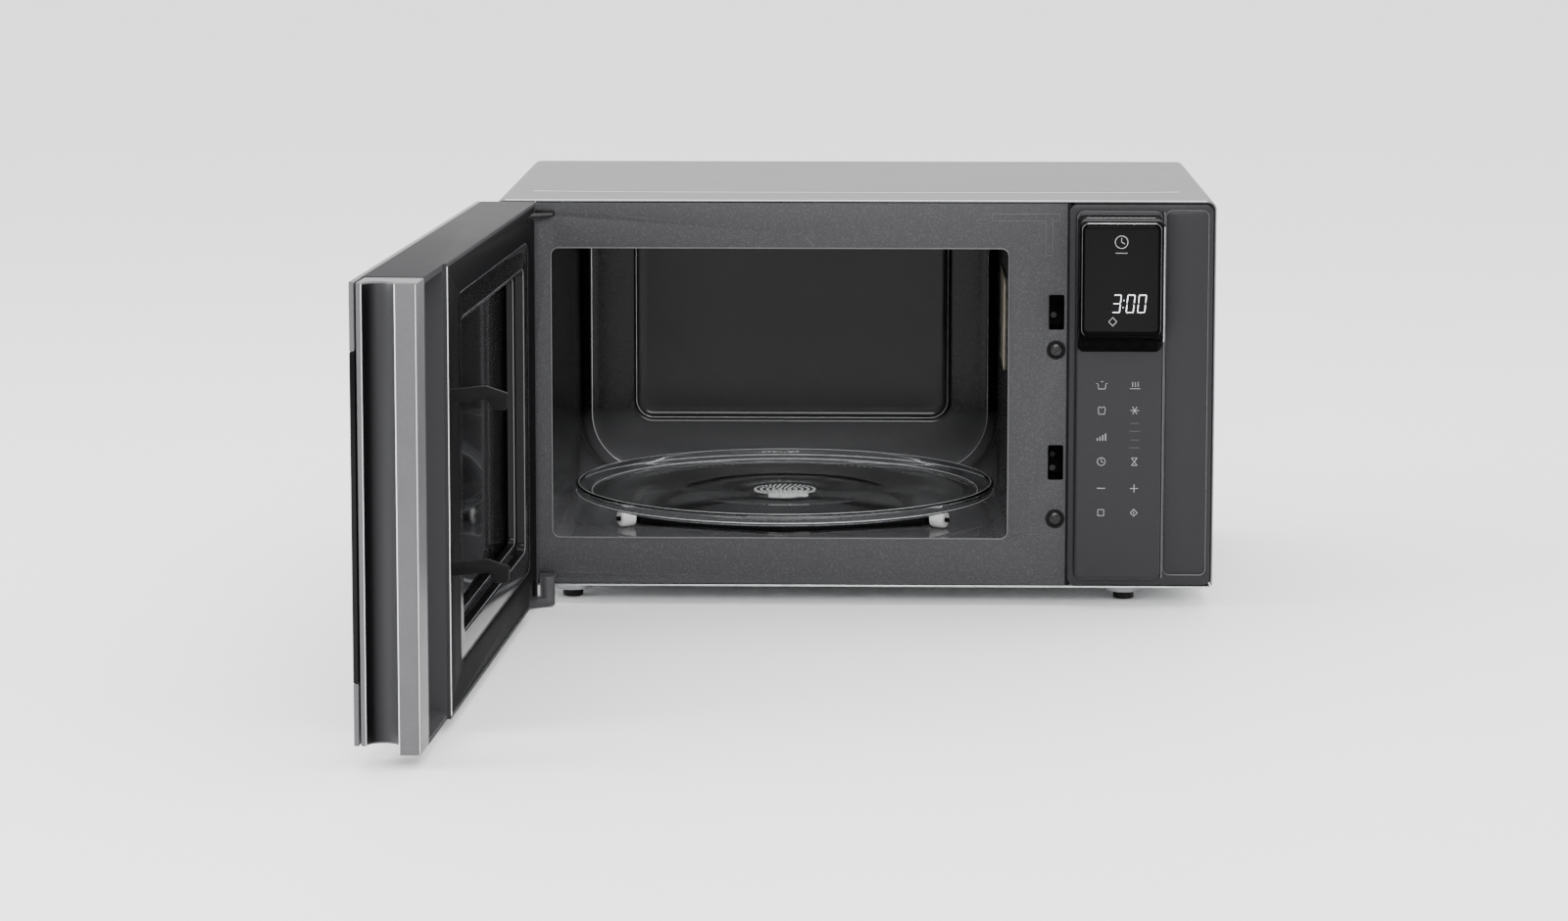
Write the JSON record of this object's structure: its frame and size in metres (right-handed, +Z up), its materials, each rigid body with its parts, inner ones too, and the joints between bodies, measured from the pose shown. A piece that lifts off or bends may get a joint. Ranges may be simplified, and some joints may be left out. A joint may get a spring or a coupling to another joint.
{
  "type": "microwave oven",
  "caption": "Countertop microwave oven with side-hinged door, hooked latch, glass turntable on a roller ring, touch control panel and raised display.",
  "frame": {"origin": "middle of the footprint of the oven with its door open, on the surface that it stands on", "axes": "+X to the right as seen from the front, +Y from the door into the oven, +Z up"},
  "size_m": [0.5118, 0.798, 0.2715],
  "materials": {
    "satin_steel": "satin silver paint",
    "zinc_steel": "zinc plated sheet",
    "fins_aluminium": "plain",
    "plate_enamel": "fine speckled powder coat",
    "cavity_enamel": "glossy enamel",
    "door_enamel": "fine speckled powder coat",
    "panel_plastic": "satin moulded",
    "gloss_black": "polished",
    "display_gloss": "polished",
    "door_black_glass": "black printed glass",
    "frame_plastic": "satin moulded",
    "silver_paint": "satin silver paint",
    "black_plastic": "moulded",
    "white_plastic": "moulded",
    "grey_plastic": "moulded",
    "clear_glass": "clear, polished",
    "rubber": "matt",
    "circuit_board": "soldermask",
    "transformer_core": "varnished windings",
    "mica": "flaky sheet"
  },
  "bodies": {
    "case": {"outer_cover": "satin_steel", "base_plate": "zinc_steel", "rear_panel": "zinc_steel", "front_plate": "plate_enamel", "cavity_shell": "cavity_enamel", "control_panel": "panel_plastic", "display_block": "display_gloss", "display_board": "circuit_board", "control_board": "circuit_board", "foot_front_left": "rubber", "foot_front_right": "rubber", "foot_rear_left": "rubber", "foot_rear_right": "rubber", "cord_inlet": "rubber", "rear_screw_1": "zinc_steel", "rear_screw_2": "zinc_steel", "front_screw_1": "zinc_steel", "front_screw_2": "zinc_steel", "waveguide_cover": "mica", "waveguide": "zinc_steel", "magnetron": "fins_aluminium", "cavity_lamp": "clear_glass", "inverter_board": "circuit_board", "heat_sink": "fins_aluminium", "inverter_transformer": "transformer_core", "mains_filter_board": "circuit_board", "fan_shroud": "grey_plastic", "fan_motor": "zinc_steel", "turntable_motor": "zinc_steel", "interlock_bracket": "grey_plastic", "microswitch_upper": "black_plastic", "microswitch_lower": "black_plastic", "microswitch_monitor": "black_plastic", "hinge_bracket_upper": "zinc_steel", "hinge_bracket_lower": "grey_plastic"},
    "fan": {"fan_blade": "black_plastic"},
    "coupler": {"drive_coupler": "white_plastic"},
    "ring": {"roller_ring": "black_plastic"},
    "roller_a": {"roller_1": "white_plastic"},
    "roller_b": {"roller_2": "white_plastic"},
    "roller_c": {"roller_3": "white_plastic"},
    "plate": {"glass_turntable": "clear_glass"},
    "plunger_upper": {"switch_plunger_upper": "white_plastic"},
    "plunger_lower": {"switch_plunger_lower": "white_plastic"},
    "plunger_monitor": {"switch_plunger_monitor": "white_plastic"},
    "door": {"door_frame": "frame_plastic", "handle_post": "silver_paint", "outer_trim_top": "satin_steel", "outer_trim_bottom": "satin_steel", "door_glass": "door_black_glass", "post_glass": "door_black_glass", "inner_panel": "door_enamel", "choke_cover": "gloss_black", "inner_window": "clear_glass", "door_screen": "door_enamel", "latch_spring": "zinc_steel", "hinge_pin_upper": "zinc_steel", "hinge_pin_lower": "zinc_steel"},
    "latch": {"latch_bar": "black_plastic"}
  },
  "joints": [
    {"name": "door_hinge", "type": "hinge", "parent": "case", "child": "door", "pos_m": [-0.21212, 0.06719, 0.135], "axis": [0, 0, 1], "range_deg": [0, 93]},
    {"name": "latch_slide", "type": "slide", "parent": "door", "child": "latch", "axis": [0, 0, 1], "range_m": [0, 0.004], "stiffness_N_per_m": 400, "springref_m": -0.004, "deforming": ["latch_spring"]},
    {"name": "coupler_spin", "type": "hinge", "parent": "case", "child": "coupler", "pos_m": [-0.03212, 0.23799, 0.04], "axis": [0, 0, 1], "continuous": true},
    {"name": "plate_lift", "type": "slide", "parent": "coupler", "child": "plate", "axis": [0, 0, 1], "range_m": [0, 0.012]},
    {"name": "ring_spin", "type": "hinge", "parent": "case", "child": "ring", "pos_m": [-0.03212, 0.23799, 0.04], "axis": [0, 0, 1], "continuous": true},
    {"name": "roller_a_spin", "type": "hinge", "parent": "ring", "child": "roller_a", "pos_m": [0.07527, 0.17599, 0.0437], "axis": [0.866, -0.5, 0], "continuous": true},
    {"name": "roller_b_spin", "type": "hinge", "parent": "ring", "child": "roller_b", "pos_m": [-0.03212, 0.36199, 0.0437], "axis": [0, 1, 0], "continuous": true},
    {"name": "roller_c_spin", "type": "hinge", "parent": "ring", "child": "roller_c", "pos_m": [-0.13951, 0.17599, 0.0437], "axis": [-0.866, -0.5, 0], "continuous": true},
    {"name": "fan_spin", "type": "hinge", "parent": "case", "child": "fan", "pos_m": [0.18588, 0.33799, 0.186], "axis": [0, 1, 0], "continuous": true},
    {"name": "switch_plunger_upper_press", "type": "slide", "parent": "case", "child": "plunger_upper", "axis": [0, 1, 0], "range_m": [0, 0.0015], "stiffness_N_per_m": 300, "springref_m": -0.002},
    {"name": "switch_plunger_lower_press", "type": "slide", "parent": "case", "child": "plunger_lower", "axis": [0, 1, 0], "range_m": [0, 0.0015], "stiffness_N_per_m": 300, "springref_m": -0.002},
    {"name": "switch_plunger_monitor_press", "type": "slide", "parent": "case", "child": "plunger_monitor", "axis": [0, 1, 0], "range_m": [0, 0.0015], "stiffness_N_per_m": 300, "springref_m": -0.002}
  ],
  "couplings": [
    {"joint": "ring_spin", "follows": "coupler_spin", "ratio": 0.5},
    {"joint": "roller_a_spin", "follows": "coupler_spin", "ratio": -10},
    {"joint": "roller_b_spin", "follows": "coupler_spin", "ratio": -10},
    {"joint": "roller_c_spin", "follows": "coupler_spin", "ratio": -10}
  ]
}
